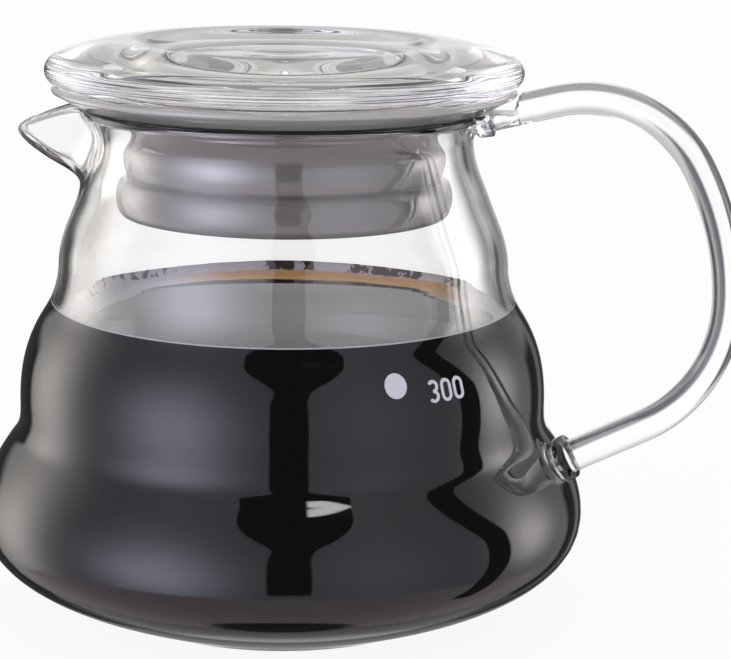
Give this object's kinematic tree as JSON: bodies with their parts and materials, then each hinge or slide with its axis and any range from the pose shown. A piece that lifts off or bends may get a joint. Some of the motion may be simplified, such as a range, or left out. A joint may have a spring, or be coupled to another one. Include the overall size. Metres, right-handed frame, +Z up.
{
  "type": "coffee server carafe",
  "caption": "Glass coffee server with a wavy wall, a pinched pouring spout, a fused loop handle and a lift-off glass lid with a soft plug seal, part filled.",
  "frame": {"origin": "middle of the flat base, on the vessel's axis", "axes": "+Z up along the vessel's axis, +X towards the handle, -X towards the spout"},
  "size_m": [0.1338, 0.107, 0.1001],
  "materials": {
    "glass": "polished",
    "lid_glass": "polished",
    "silicone": "satin",
    "coffee": "gloss",
    "print": "satin"
  },
  "bodies": {
    "carafe": {"vessel": "glass", "handle": "glass", "upper_weld": "glass", "lower_weld": "glass", "coffee": "coffee", "fill_dot": "print", "fill_number": "print"},
    "lid": {"lid": "lid_glass", "lid_seal": "silicone"}
  },
  "joints": [
    {"name": "lid_lift", "type": "slide", "parent": "carafe", "child": "lid", "axis": [0, 0, 1], "range_m": [0, 0.05]}
  ]
}
